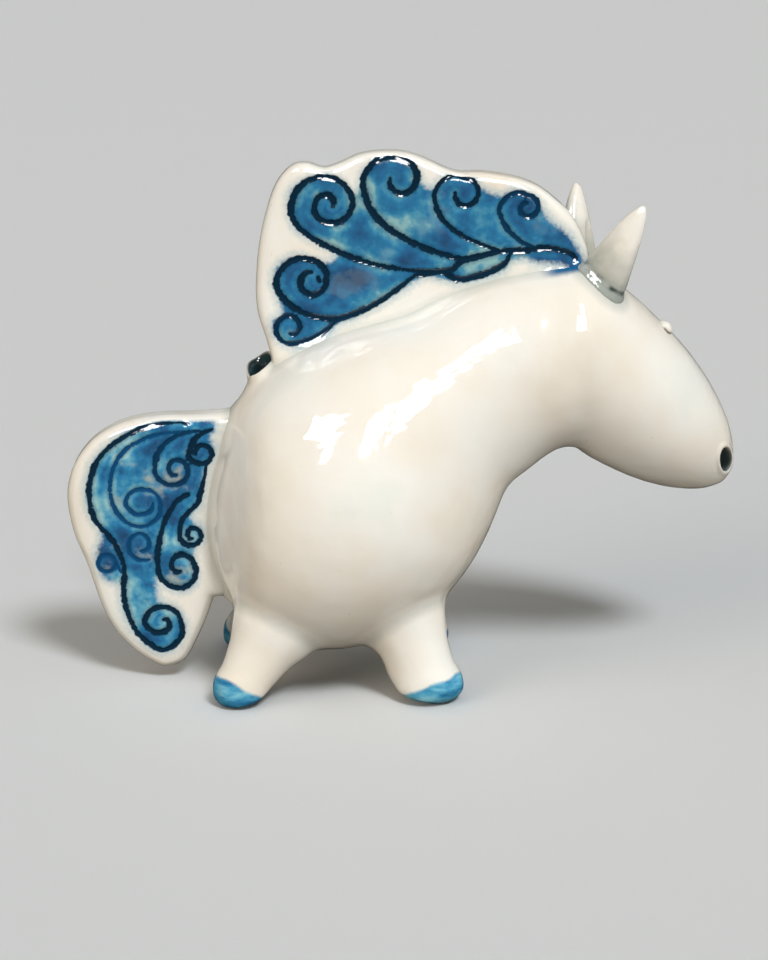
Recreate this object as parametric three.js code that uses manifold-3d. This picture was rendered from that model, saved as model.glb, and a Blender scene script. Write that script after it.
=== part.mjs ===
// Ceramic horse figurine: a hollow pot-bellied horse, built by hand from pinch pots, rolled legs and slabs.
// Millimetres, +Z up, +X towards the muzzle. The origin is on the table, under the middle of the figure.
import * as THREE from "three";
import { mergeVertices } from "three/addons/utils/BufferGeometryUtils.js";
import Module from "manifold-3d";

const wasm = await Module();
wasm.setup();

// Clay
const wall = 5; // pinched wall of the hollow pots
const slip = 0.3; // gap at every slip joint

// Belly and neck: one egg, long way towards the neck, that is drawn out into a curved neck
const bellyRadius = 34.5; // square to the neck's line, in the middle plane
const bellyDepth = 40; // along the neck's line, from the belly's centre to its far end
const bellyWidth = 36; // from the middle plane to each side
const bellyHeight = 46.6; // the belly's centre above the table
const rumpPress = 0.5; // share of its width that the rump loses, pressed in towards the tail
const rumpSpread = 60; // the pressing starts this far round from straight back, degrees
const neckReach = 52.6; // middle of the neck's rim ahead of the belly's centre
const neckRise = 33.9; // and above it
const neckHigh = 21.9; // the rim's middle to its top and bottom
const neckWide = 18.8; // and to its sides
const neckLean = 57; // slope of the neck where it leaves the belly, degrees
const neckBow = 38; // how far the neck's line holds that slope before it bends over
const neckFillet = 10; // blend of the belly into the neck
const throatFill = 4.2; // clay added in the bend under the neck
const throatLean = 1.3; // above 1 that clay sits nearer to the head
const shoulderLength = 56; // from the belly's centre until the neck is at its width

// Head: a ball at the poll that runs on into a tapered muzzle
const headRadius = 18.9;
const headLength = 57.2; // poll to muzzle tip
const headDroop = 40.7; // degrees below level
const headTurn = 16; // degrees towards the figure's left
const headBack = 2; // poll behind the middle of the neck's rim
const headLift = 3.6; // and above it
const muzzleTaper = 2.5; // higher keeps the head's full width for longer
const muzzleFullness = 0.6; // lower is blunter

// Nostrils and the vent behind the mane
const nostrilRadius = 2.8;
const nostrilStation = 0.885 * headLength; // from the poll, along the head
const nostrilAngle = 69; // round the head from its crown, degrees
const ventLength = 6; // along the back
const ventWidth = 9.5; // across the back
const ventAngle = 125; // round the belly from straight ahead, degrees
const ventSide = 1.5; // its middle is off the middle plane by this, towards the figure's left
const ventLip = 2.2; // clay pushed up round the hole
const ventLipFoot = 2.4; // and spread out from it

// Eyes
const eyeRadius = 2.3;
const eyeStation = 0.285 * headLength; // from the poll, along the head
const eyeAngle = 19;
const eyeSink = 0.9; // the eye's centre lies this far under the skin

// Ears
const earHeight = 19.8; // skin to tip
const earWidth = 12.5;
const earThickness = 7.5;
const earTaper = 0.7; // share of its width that the ear loses up to its round tip
const earStation = -5; // ahead of the poll, along the head
const earAngle = 27; // round the head from its crown, degrees
const earSplay = 16; // lean outwards, degrees
const earPitch = { right: 24, left: 7 }; // lean forwards, degrees; the two were pinched by eye
const earTwist = 40; // the hollow faces inwards from straight ahead by this, degrees
const earRoot = 5; // clay below the skin, trimmed to the head
const scoopWidth = 7; // the hollow in the ear's front
const scoopHeight = 22;
const scoopRise = 7; // its middle above the skin
const scoopDepth = 2;

// Mane: a slab on the crest of the neck, from the withers to the poll
const maneThickness = 8;
const maneEdge = 2.4; // rounding of the slab's edge
const maneRoot = 12; // clay below the base line, trimmed to the neck
const withersAngle = 118; // round the belly from straight ahead, degrees
const withersStandOff = 3.75; // base line above the belly there
const crownAngle = 68.5; // round the poll from straight ahead, degrees
const maneHeight = 42; // highest point above the base line
// share of the base line from withers to crown, share of the height
const maneOutline = [
  [0, 0.095],
  [0, 0.286],
  [0.03, 0.488],
  [0.09, 0.738],
  [0.155, 0.917],
  [0.22, 1],
  [0.27, 0.99],
  [0.31, 0.943],
  [0.36, 0.943],
  [0.43, 0.96],
  [0.53, 0.919],
  [0.6, 0.848],
  [0.68, 0.724],
  [0.76, 0.676],
  [0.85, 0.595],
  [0.92, 0.488],
  [0.98, 0.298],
  [1, 0.119],
];

// Tail: a slab on the rump, in one plane with the mane
const tailThickness = 10;
const tailEdge = 3;
const tailRoot = 10;
const tailAngle = 143.5; // its top, round the belly from straight ahead, degrees
const tailStandOff = 1; // base line outside the belly there
const tailClearance = 2.8; // table to the tip
const tailSeat = 0.38; // share of the base line where the rump begins
const tailReach = 38.7; // farthest point behind the base line
// share of the base line from the tip's level to the top, share of the reach
const tailOutline = [
  [0.275, 0.101],
  [0.196, 0.147],
  [0.111, 0.209],
  [0.028, 0.287],
  [0, 0.395],
  [0.012, 0.481],
  [0.066, 0.612],
  [0.141, 0.721],
  [0.246, 0.814],
  [0.407, 0.891],
  [0.522, 0.969],
  [0.648, 1],
  [0.743, 0.977],
  [0.818, 0.922],
  [0.892, 0.814],
  [0.944, 0.659],
  [0.972, 0.457],
  [0.977, 0.209],
];

// Legs and hooves
const hipRadius = 10.6; // where the leg has spread on to the belly
const legTaper = 0.5; // share of that spread along the straight leg; the rest is close to the belly
const hoofCoat = 0.2; // the hoof's glaze stands proud of the leg by this
const hoofHeight = 5.5;
const hoofDome = 1.4; // rounded clay that the flat sole is cut from
const hoofShoulder = 4.2; // height where the rounding ends
const hoofBevel = 0.6; // edge of the glaze
const legRoot = 9; // clay below the belly's skin, trimmed to it
const rearAnkle = 6.3; // radius of the leg above the hoof
const frontAnkle = 7.2;
const frontLag = 2.5; // how far the left front foot stands behind the right one
// foot ahead of the belly's centre and out from the middle, hip ahead, out and below, all tied to the belly
const stances = {
  rear: {
    foot: [-0.809 * bellyRadius, 0.597 * bellyWidth],
    hip: [-0.386 * bellyRadius, 0.361 * bellyWidth, 0.667 * bellyRadius],
    ankle: rearAnkle,
    lag: 0,
  },
  front: {
    foot: [0.62 * bellyRadius, 0.514 * bellyWidth],
    hip: [0.325 * bellyRadius, 0.333 * bellyWidth, 0.667 * bellyRadius],
    ankle: frontAnkle,
    lag: frontLag,
  },
};

// Facets
const sides = 30;
const innerSides = 22;
const ventSides = 20;

// Finishes
const whiteGlaze = new THREE.MeshStandardMaterial({ color: 0xefe9dc, roughness: 0.12 });
const blueGlaze = new THREE.MeshStandardMaterial({ color: 0x2a76a4, roughness: 0.15 });
const hoofGlaze = new THREE.MeshStandardMaterial({ color: 0x3f93bb, roughness: 0.15 });
const eyeGlaze = new THREE.MeshStandardMaterial({ color: 0xe9e6dc, roughness: 0.1 });

const rad = THREE.MathUtils.degToRad;
const across = new THREE.Vector3(0, 1, 0);
const up = new THREE.Vector3(0, 0, 1);

// A closed geometry as a solid, and back
function solidOf(geometry) {
  const bare = new THREE.BufferGeometry();
  bare.setAttribute("position", geometry.getAttribute("position"));
  bare.setIndex(geometry.getIndex());
  const merged = mergeVertices(bare, 1e-4);
  const mesh = new wasm.Mesh({
    numProp: 3,
    vertProperties: merged.attributes.position.array,
    triVerts: new Uint32Array(merged.index.array),
  });
  return new wasm.Manifold(mesh);
}

function geometryOf(solid) {
  const mesh = solid.getMesh();
  const geometry = new THREE.BufferGeometry();
  geometry.setAttribute("position", new THREE.BufferAttribute(mesh.vertProperties, 3));
  geometry.setIndex(new THREE.BufferAttribute(mesh.triVerts, 1));
  geometry.computeVertexNormals();
  return geometry;
}

// Turns a geometry made along +Y to run along a direction from an origin; its +X is turned towards side
function placed(geometry, origin, along, side) {
  const y = along.clone().normalize();
  const z = new THREE.Vector3().crossVectors(side, y).normalize();
  const x = new THREE.Vector3().crossVectors(y, z);
  const matrix = new THREE.Matrix4().makeBasis(x, y, z).setPosition(origin);
  return geometry.applyMatrix4(matrix);
}

// A point of the middle plane, at an angle round a centre from straight ahead
function around(centre, angle, radius) {
  const a = rad(angle);
  return new THREE.Vector3(centre.x + radius * Math.cos(a), centre.y, centre.z + radius * Math.sin(a));
}

function smoothMax(a, b, blend) {
  const h = Math.max(blend - Math.abs(a - b), 0) / blend;
  return Math.max(a, b) + (h * h * blend) / 4;
}

// A closed skin over rings of points, with a fan over each end
function skin(rings) {
  const count = rings[0].length;
  const positions = [];
  const index = [];
  for (const ringPoints of rings) ringPoints.forEach((p) => positions.push(...p));
  for (let r = 0; r + 1 < rings.length; r++) {
    for (let i = 0; i < count; i++) {
      const a = r * count + i;
      const b = r * count + ((i + 1) % count);
      index.push(a, b + count, b, a, a + count, b + count);
    }
  }
  for (const [r, first] of [[0, true], [rings.length - 1, false]]) {
    const hub = positions.length / 3;
    const centre = new THREE.Vector3();
    rings[r].forEach((p) => centre.addScaledVector(p, 1 / count));
    positions.push(...centre);
    for (let i = 0; i < count; i++) {
      const a = r * count + i;
      const b = r * count + ((i + 1) % count);
      index.push(...(first ? [hub, a, b] : [hub, b, a]));
    }
  }
  const geometry = new THREE.BufferGeometry();
  geometry.setAttribute("position", new THREE.Float32BufferAttribute(positions, 3));
  geometry.setIndex(index);
  return geometry;
}

// The rump is pressed narrower towards the tail
function pressRump(p) {
  const back = (belly.x - p.x) / p.distanceTo(belly);
  const pressed = THREE.MathUtils.smoothstep(back, Math.cos(rad(rumpSpread)), 1);
  return p.setY(p.y * (1 - rumpPress * pressed));
}

// The ring of an oval section, {centre, tangent, crest, throat, wide}, in a plane that holds the across axis
function oval({ centre, tangent, crest, throat, wide }, count) {
  const under = new THREE.Vector3().crossVectors(across, tangent).normalize();
  return Array.from({ length: count }, (_, i) => {
    const a = (2 * Math.PI * i) / count;
    const p = centre.clone().addScaledVector(across, wide * Math.cos(a));
    return p.addScaledVector(under, (Math.sin(a) > 0 ? throat : crest) * Math.sin(a));
  });
}

// Belly and neck
const belly = new THREE.Vector3(0, 0, bellyHeight);
const neckEnd = belly.clone().add(new THREE.Vector3(neckReach, 0, neckRise));
const neckBend = around(belly, neckLean, neckBow);
const neckLine = new THREE.QuadraticBezierCurve3(belly, neckBend, neckEnd);
const neckLength = neckLine.getLength();
const neckStart = neckLine.getTangentAt(0);
const neckBack = new THREE.Vector3().crossVectors(across, neckStart); // square to it, in the middle plane

// The belly and neck with the skin moved out by grow, and the neck's end moved along by extend
function bodySolid(grow, extend, count) {
  const deep = bellyDepth + grow;
  const sections = [];
  const rearRings = 10;
  for (let i = 0; i < rearRings; i++) {
    const a = (0.5 * Math.PI * (i + 0.25)) / rearRings;
    const centre = belly.clone().addScaledVector(neckStart, -deep * Math.cos(a));
    const high = (bellyRadius + grow) * Math.sin(a);
    const wide = (bellyWidth + grow) * Math.sin(a);
    sections.push({ centre, tangent: neckStart, crest: high, throat: high, wide });
  }
  const frontRings = 16;
  for (let i = 0; i <= frontRings; i++) {
    const u = i / frontRings;
    const s = u * neckLength;
    const egg = (bellyRadius + grow) * Math.sqrt(Math.max(1 - (s / deep) ** 2, 0));
    const crest = smoothMax(egg, neckHigh + grow, neckFillet);
    const throat = crest + throatFill * Math.sin(Math.PI * u ** throatLean) ** 2;
    const drawn = THREE.MathUtils.smoothstep(s, 0, shoulderLength);
    const wide = THREE.MathUtils.lerp(bellyWidth, neckWide, drawn) + grow;
    sections.push({ centre: neckLine.getPointAt(u), tangent: neckLine.getTangentAt(u), crest, throat, wide });
  }
  const last = sections[sections.length - 1];
  const centre = last.centre.clone().addScaledVector(last.tangent, extend);
  if (extend > 0) sections.push({ ...last, centre });
  return solidOf(skin(sections.map((section) => oval(section, count).map(pressRump))));
}

// Head, round its own axis; a skin point is given by its station and its angle from the crown
const poll = neckEnd.clone().add(new THREE.Vector3(-headBack, 0, headLift));
const headAxis = new THREE.Vector3(Math.cos(rad(headDroop)), 0, -Math.sin(rad(headDroop)));
headAxis.applyAxisAngle(up, rad(headTurn));
const headSide = new THREE.Vector3(0, 1, 0).applyAxisAngle(up, rad(headTurn));
const headCrown = new THREE.Vector3().crossVectors(headAxis, headSide);

function headProfile(station) {
  if (station < 0) return Math.sqrt(Math.max(headRadius * headRadius - station * station, 0));
  return headRadius * Math.max(1 - (station / headLength) ** muzzleTaper, 0) ** muzzleFullness;
}

// The skin point and its outward normal; positive angles are on the figure's left
function onHead(station, angle) {
  const out = headCrown.clone().multiplyScalar(Math.cos(rad(angle)));
  out.addScaledVector(headSide, Math.sin(rad(angle)));
  const step = 0.01;
  const slope = (headProfile(station + step) - headProfile(station - step)) / (2 * step);
  const point = poll.clone().addScaledVector(headAxis, station).addScaledVector(out, headProfile(station));
  const normal = out.clone().addScaledVector(headAxis, -slope).normalize();
  return { point, normal };
}

function headSolid(grow, count) {
  const profile = [];
  const rings = 20;
  for (let i = 0; i <= rings; i++) {
    const a = (Math.PI * i) / rings;
    const back = -Math.cos(a);
    const station = back < 0 ? back * headRadius : back * headLength;
    const radius = headProfile(station);
    const scale = (headRadius + grow) / headRadius;
    const reach = station < 0 ? station * scale : (station * (headLength + grow)) / headLength;
    profile.push(new THREE.Vector2(i === 0 || i === rings ? 0 : radius * scale, reach));
  }
  return solidOf(placed(new THREE.LatheGeometry(profile, count), poll, headAxis, headSide));
}

// A block that holds everything on the far side of a plane
function beyond(point, normal) {
  const size = 400;
  const block = new THREE.BoxGeometry(size, size, size).translate(0, size / 2, 0);
  const side = Math.abs(normal.y) > 0.9 ? up : across;
  return solidOf(placed(block, point, normal, side));
}

const bodyOuter = bodySolid(0, 0, sides);
const bodyInner = bodySolid(-wall, 3 * wall, innerSides);
const bodyClear = bodySolid(slip, slip, sides);
const headOuter = headSolid(0, sides);
const headInner = headSolid(-wall, innerSides);
const headClear = headSolid(slip, sides);

// Vent: an oval hole through the back, just behind the mane, in a lip of pushed-up clay
function ventOval(low, high, lowSpread, highSpread) {
  const out = around(new THREE.Vector3(), ventAngle, 1);
  const middle = around(belly, ventAngle, bellyRadius).addScaledVector(across, ventSide);
  const rings = [[low, lowSpread], [high, highSpread]].map(([level, spread]) => {
    const centre = middle.clone().addScaledVector(out, level);
    const along = new THREE.Vector3().crossVectors(across, out);
    return Array.from({ length: ventSides }, (_, i) => {
      const a = (2 * Math.PI * i) / ventSides;
      const p = centre.clone().addScaledVector(across, (ventWidth / 2 + spread) * Math.cos(a));
      return p.addScaledVector(along, (ventLength / 2 + spread) * Math.sin(a));
    });
  });
  return solidOf(skin(rings));
}

function ventLipSolid(grow) {
  return ventOval(-wall / 2, ventLip + grow, ventLipFoot + grow, ventLip / 4 + grow);
}

// The lower and upper pinch pots meet rim to rim round the belly's middle
function bellyBowl() {
  const rim = belly.clone().addScaledVector(neckStart, -slip / 2);
  return bodyOuter.subtract(bodyInner).subtract(beyond(rim, neckStart));
}

function shoulderAndNeck() {
  const rim = belly.clone().addScaledVector(neckStart, slip / 2);
  const below = beyond(rim, neckStart.clone().negate());
  const shell = bodyOuter.subtract(bodyInner).subtract(below).add(ventLipSolid(0));
  return shell.subtract(ventOval(-3 * wall, 3 * wall, 0, 0));
}

function nostrilCutter(angle) {
  const { point, normal } = onHead(nostrilStation, angle);
  const cutter = new THREE.CylinderGeometry(nostrilRadius, nostrilRadius, 4 * wall, 16);
  return solidOf(placed(cutter, point, normal, headAxis));
}

// The head's back is cut off square to the neck, where the two skins run flush
function head() {
  const tangent = neckLine.getTangentAt(1);
  const rim = neckEnd.clone().addScaledVector(tangent, slip);
  let shell = headOuter.subtract(headInner).subtract(beyond(rim, tangent.negate()));
  for (const angle of [-nostrilAngle, nostrilAngle]) shell = shell.subtract(nostrilCutter(angle));
  return shell;
}

function eye(angle) {
  const { point, normal } = onHead(eyeStation, angle);
  const ball = new THREE.SphereGeometry(eyeRadius, 16, 12);
  return solidOf(placed(ball, point.addScaledVector(normal, -eyeSink), normal, headAxis)).subtract(headClear);
}

// A pinched leaf of clay: an oval cone with a scoop out of its front
function ear(hand, side) {
  const { point } = onHead(earStation, side * earAngle);
  const outline = [new THREE.Vector2(0, -earRoot), new THREE.Vector2(0.5, -earRoot)];
  const steps = 10;
  for (let i = 0; i < steps; i++) {
    const t = Math.sin((0.5 * Math.PI * i) / steps);
    outline.push(new THREE.Vector2(0.5 * (1 - earTaper * t) * Math.sqrt(1 - t ** 6), t * earHeight));
  }
  outline.push(new THREE.Vector2(0, earHeight));
  const leaf = new THREE.LatheGeometry(outline, 16).scale(earWidth, 1, earThickness);
  const scoop = new THREE.SphereGeometry(0.5, 14, 10);
  scoop.scale(scoopWidth, scoopHeight, earThickness);
  scoop.translate(0, scoopRise, earThickness - scoopDepth);
  const pinched = solidOf(leaf).subtract(solidOf(scoop));
  const lean = new THREE.Vector3(Math.tan(rad(earPitch[hand])), side * Math.tan(rad(earSplay)), 1);
  const width = new THREE.Vector3(side * Math.sin(rad(earTwist)), Math.cos(rad(earTwist)), 0);
  lean.applyAxisAngle(up, rad(headTurn));
  width.applyAxisAngle(up, rad(headTurn));
  const shape = placed(geometryOf(pinched), point, lean, width);
  return solidOf(shape).subtract(headClear).subtract(bodyClear).subtract(maneClear);
}

// A slab on a base line of the middle plane. Outline points are [share of the base line, share of the reach
// off it]; the root lies below the base line, from the share seat to the line's end.
function slab({ from, to, outline, reach, seat, root, thickness, edge, grow }) {
  const line = to.clone().sub(from);
  const off = new THREE.Vector3(-line.z, 0, line.x).normalize();
  const at = ([share, height]) => {
    const p = from.clone().addScaledVector(line, share).addScaledVector(off, height);
    return new THREE.Vector2(p.x, p.z);
  };
  const shape = new THREE.Shape();
  const edgeLine = outline.map(([share, height]) => at([share, height * reach]));
  shape.moveTo(...at([seat, -root]));
  shape.lineTo(...edgeLine[0]);
  shape.splineThru(edgeLine.slice(1));
  shape.lineTo(...at([1, -root]));
  const geometry = new THREE.ExtrudeGeometry(shape, {
    depth: thickness - 2 * edge + 2 * grow,
    curveSegments: 3,
    bevelThickness: edge,
    bevelSize: edge,
    bevelOffset: grow - edge,
    bevelSegments: 3,
  });
  geometry.translate(0, 0, edge - thickness / 2 - grow);
  geometry.rotateX(Math.PI / 2);
  return solidOf(geometry);
}

function maneSlab(grow) {
  return slab({
    from: around(belly, withersAngle, bellyRadius + withersStandOff),
    to: around(poll, crownAngle, headRadius),
    outline: maneOutline,
    reach: maneHeight,
    seat: 0,
    root: maneRoot,
    thickness: maneThickness,
    edge: maneEdge,
    grow,
  });
}

const maneClear = maneSlab(slip);

function mane() {
  return maneSlab(0).subtract(bodyClear).subtract(headClear).subtract(ventLipSolid(slip));
}

function tail() {
  const top = around(belly, tailAngle, bellyRadius + tailStandOff);
  const rough = slab({
    from: new THREE.Vector3(top.x, 0, tailClearance),
    to: top,
    outline: tailOutline,
    reach: tailReach,
    seat: tailSeat,
    root: tailRoot,
    thickness: tailThickness,
    edge: tailEdge,
    grow: 0,
  });
  return rough.subtract(bodyClear);
}

// A vector as shares of the belly's three radii
function inBelly(v) {
  const shares = [v.dot(across) / bellyWidth, v.dot(neckBack) / bellyRadius, v.dot(neckStart) / bellyDepth];
  return new THREE.Vector3(...shares);
}

// A leg from its foot on the table towards a point inside the belly; the hip is where it meets the skin
function legLine({ foot, hip: target, lag }, side) {
  const sole = new THREE.Vector3(belly.x + foot[0] - (side > 0 ? lag : 0), side * foot[1], 0);
  const joint = belly.clone().add(new THREE.Vector3(target[0], side * target[1], -target[2]));
  const along = joint.sub(sole).normalize();
  const away = inBelly(sole.clone().sub(belly));
  const step = inBelly(along);
  const closest = -away.dot(step) / step.lengthSq();
  const miss = away.addScaledVector(step, closest).lengthSq();
  const length = closest - Math.sqrt((1 - miss) / step.lengthSq());
  const hip = sole.clone().addScaledVector(along, length);
  return { sole, along, hip };
}

const table = beyond(new THREE.Vector3(), up.clone().negate());

function hoof(stance, side) {
  const { sole, along } = legLine(stance, side);
  const radius = stance.ankle + hoofCoat;
  const outline = [];
  const steps = 6;
  for (let i = 0; i <= steps; i++) {
    const a = (0.5 * Math.PI * i) / steps;
    const y = hoofShoulder - (hoofShoulder + hoofDome) * Math.cos(a);
    outline.push(new THREE.Vector2(i === 0 ? 0 : radius * Math.sin(a), y));
  }
  outline.push(new THREE.Vector2(radius, hoofHeight - hoofBevel));
  outline.push(new THREE.Vector2(radius - hoofBevel, hoofHeight));
  outline.push(new THREE.Vector2(0, hoofHeight));
  return solidOf(placed(new THREE.LatheGeometry(outline, 24), sole, along, across)).subtract(table);
}

// A ring of points round a centre, square to a direction; every ring starts towards the front
function ring(centre, direction, radius, count) {
  const v = new THREE.Vector3().crossVectors(new THREE.Vector3(1, 0, 0), direction).normalize();
  const u = new THREE.Vector3().crossVectors(direction, v);
  return Array.from({ length: count }, (_, i) => {
    const a = (2 * Math.PI * i) / count;
    return centre.clone().addScaledVector(u, radius * Math.cos(a)).addScaledVector(v, radius * Math.sin(a));
  });
}

// The leg runs straight up from the hoof, then spreads on to a round footprint on the belly
function leg(stance, side) {
  const { sole, along, hip } = legLine(stance, side);
  const count = 24;
  const inward = belly.clone().sub(hip).normalize();
  const foot = ring(sole.clone().addScaledVector(along, hoofHeight + slip), along, stance.ankle, count);
  const footprint = ring(hip, inward, hipRadius, count);
  const rings = [];
  for (const t of [0, 0.3, 0.5, 0.65, 0.8, 0.9, 1]) {
    rings.push(
      foot.map((p, i) => {
        const travel = footprint[i].clone().sub(p);
        const climb = along.clone().multiplyScalar(travel.dot(along));
        const spread = travel.sub(climb);
        const opened = THREE.MathUtils.lerp(t ** 4, t, legTaper);
        return p.clone().addScaledVector(climb, t).addScaledVector(spread, opened);
      }),
    );
  }
  rings.push(footprint.map((p) => p.clone().addScaledVector(inward, legRoot)));
  return solidOf(skin(rings)).subtract(bodyClear);
}

// Assembly
const figure = new THREE.Group();

function addPiece(name, solid, material) {
  const mesh = new THREE.Mesh(geometryOf(solid), material);
  mesh.name = name;
  figure.add(mesh);
}

addPiece("belly_bowl", bellyBowl(), whiteGlaze);
addPiece("shoulder_and_neck", shoulderAndNeck(), whiteGlaze);
addPiece("head", head(), whiteGlaze);
addPiece("mane", mane(), blueGlaze);
addPiece("tail", tail(), blueGlaze);
for (const [hand, side] of [["right", -1], ["left", 1]]) {
  addPiece("ear_" + hand, ear(hand, side), whiteGlaze);
  addPiece("eye_" + hand, eye(side * eyeAngle), eyeGlaze);
  for (const [end, stance] of Object.entries(stances)) {
    addPiece(end + "_leg_" + hand, leg(stance, side), whiteGlaze);
    addPiece(end + "_hoof_" + hand, hoof(stance, side), hoofGlaze);
  }
}

// The origin goes under the middle of the whole figure
const box = new THREE.Box3().setFromObject(figure);
const middle = box.getCenter(new THREE.Vector3()).setZ(0);
figure.children.forEach((mesh) => mesh.position.sub(middle));

export default figure;
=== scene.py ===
import math

import bpy
import numpy as np
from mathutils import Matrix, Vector, kdtree, noise
from mathutils.bvhtree import BVHTree


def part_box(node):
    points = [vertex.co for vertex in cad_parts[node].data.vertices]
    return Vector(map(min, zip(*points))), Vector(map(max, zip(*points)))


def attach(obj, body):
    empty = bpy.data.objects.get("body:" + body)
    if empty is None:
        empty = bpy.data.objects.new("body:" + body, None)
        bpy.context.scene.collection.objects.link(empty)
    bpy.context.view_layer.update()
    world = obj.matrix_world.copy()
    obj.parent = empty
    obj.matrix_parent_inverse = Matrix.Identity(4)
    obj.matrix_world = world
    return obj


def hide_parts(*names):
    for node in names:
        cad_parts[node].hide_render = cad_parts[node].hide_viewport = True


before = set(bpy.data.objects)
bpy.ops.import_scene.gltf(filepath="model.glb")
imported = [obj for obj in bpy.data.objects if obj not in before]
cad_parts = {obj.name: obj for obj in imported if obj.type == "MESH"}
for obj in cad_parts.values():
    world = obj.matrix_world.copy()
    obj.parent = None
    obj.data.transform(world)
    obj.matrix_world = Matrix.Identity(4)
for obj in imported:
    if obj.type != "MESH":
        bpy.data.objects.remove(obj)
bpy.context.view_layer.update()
mm = 0.001
print("frame loaded,", len(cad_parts), "nodes")


# Camera, where the photographer stood

cameraLook = {
    "target": (-4.64, 0.0, 49.4),  # mm
    "distance": 600,  # mm
    "elevation": 16,  # degrees
    "lens": 93.8,  # mm, on a 36 mm high frame
    "frameHeight": 36,
}


def addCamera():
    tilt = math.radians(cameraLook["elevation"])
    back = Vector((0, -math.cos(tilt), math.sin(tilt))) * cameraLook["distance"]
    place = (Vector(cameraLook["target"]) + back) * mm
    bpy.ops.object.camera_add(location=place, rotation=(math.pi / 2 - tilt, 0, 0))
    camera = bpy.context.object
    camera.data.sensor_fit = "VERTICAL"
    camera.data.sensor_height = cameraLook["frameHeight"]
    camera.data.lens = cameraLook["lens"]
    bpy.context.scene.camera = camera


addCamera()
print("camera set")


# Bench tools

mergeGap = 0.01  # mm
relaxSteps = 8
relaxBack = -1.04  # a little more than the smoothing took


def pickOnly(piece):
    bpy.ops.object.select_all(action="DESELECT")
    piece.select_set(True)
    bpy.context.view_layer.objects.active = piece


def copyNodes(label, names):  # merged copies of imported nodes, joined into one new piece
    copies = []
    for name in names:
        twin = bpy.data.objects.new(label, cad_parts[name].data.copy())
        bpy.context.scene.collection.objects.link(twin)
        copies.append(twin)
    pickOnly(copies[0])
    for twin in copies:
        twin.select_set(True)
    if len(copies) > 1:
        bpy.ops.object.join()
    bpy.ops.object.mode_set(mode="EDIT")
    bpy.ops.mesh.select_all(action="SELECT")
    bpy.ops.mesh.remove_doubles(threshold=mergeGap * mm)
    bpy.ops.object.mode_set(mode="OBJECT")
    piece = bpy.context.object
    piece.name = label
    piece.data.materials.clear()
    return piece


def useModifier(piece, kind, **settings):
    pickOnly(piece)
    modifier = piece.modifiers.new(kind.lower(), kind)
    for key, value in settings.items():
        setattr(modifier, key, value)
    bpy.ops.object.modifier_apply(modifier=modifier.name)


def relax(piece, passes):  # smooth, then give the lost volume back
    for _ in range(passes):
        useModifier(piece, "SMOOTH", factor=1.0, iterations=relaxSteps)
        useModifier(piece, "SMOOTH", factor=relaxBack, iterations=relaxSteps)


def pickFaces(piece, test):  # edit mode, with the faces that pass the test selected
    pickOnly(piece)
    bpy.ops.object.mode_set(mode="EDIT")
    bpy.ops.mesh.select_mode(type="FACE")
    bpy.ops.mesh.select_all(action="DESELECT")
    bpy.ops.object.mode_set(mode="OBJECT")
    for face in piece.data.polygons:
        face.select = test(face)
    bpy.ops.object.mode_set(mode="EDIT")


def readMesh(piece):  # places and normals of all points
    places = np.empty(len(piece.data.vertices) * 3)
    normals = np.empty(len(piece.data.vertices) * 3)
    piece.data.vertices.foreach_get("co", places)
    piece.data.vertices.foreach_get("normal", normals)
    return places.reshape(-1, 3), normals.reshape(-1, 3)


def movePoints(piece, places):
    piece.data.vertices.foreach_set("co", np.asarray(places, float).ravel())
    piece.data.update()


def keepValues(piece, label, values):  # one number per point, for the material
    layer = piece.data.attributes.get(label) or piece.data.attributes.new(label, "FLOAT", "POINT")
    layer.data.foreach_set("value", np.asarray(values, np.float32))


def readValues(piece, label):
    values = np.zeros(len(piece.data.vertices), np.float32)
    if label in piece.data.attributes:
        piece.data.attributes[label].data.foreach_get("value", values)
    return values


def smoothStep(low, high, values):
    share = np.clip((values - low) / (high - low), 0, 1)
    return share * share * (3 - 2 * share)


def patches(places, size):  # smooth noise with features of that many mm
    return np.array([noise.noise(Vector(place) / (size * mm)) for place in places])


def handLumps(piece, size, height):  # soft unevenness of hand-pressed clay, in mm
    places, normals = readMesh(piece)
    lift = (patches(places, size) - 0.5) * height * mm  # mostly hollows, so that the outline stays
    movePoints(piece, places + normals * lift[:, None])


def surfaceTree(*pieces):
    points = []
    faces = []
    for piece in pieces:
        first = len(points)
        points += [vertex.co.copy() for vertex in piece.data.vertices]
        faces += [[first + corner for corner in face.vertices] for face in piece.data.polygons]
    return BVHTree.FromPolygons(points, faces)


def gapTo(tree, places, reach):  # mm from each place to a surface, reach where it is farther
    gaps = [tree.find_nearest(Vector(place), reach * mm)[3] for place in places]
    return np.array([reach if gap is None else gap / mm for gap in gaps])


# Glazed skin: the pots, the legs and the feet under one coat of glaze

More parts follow.
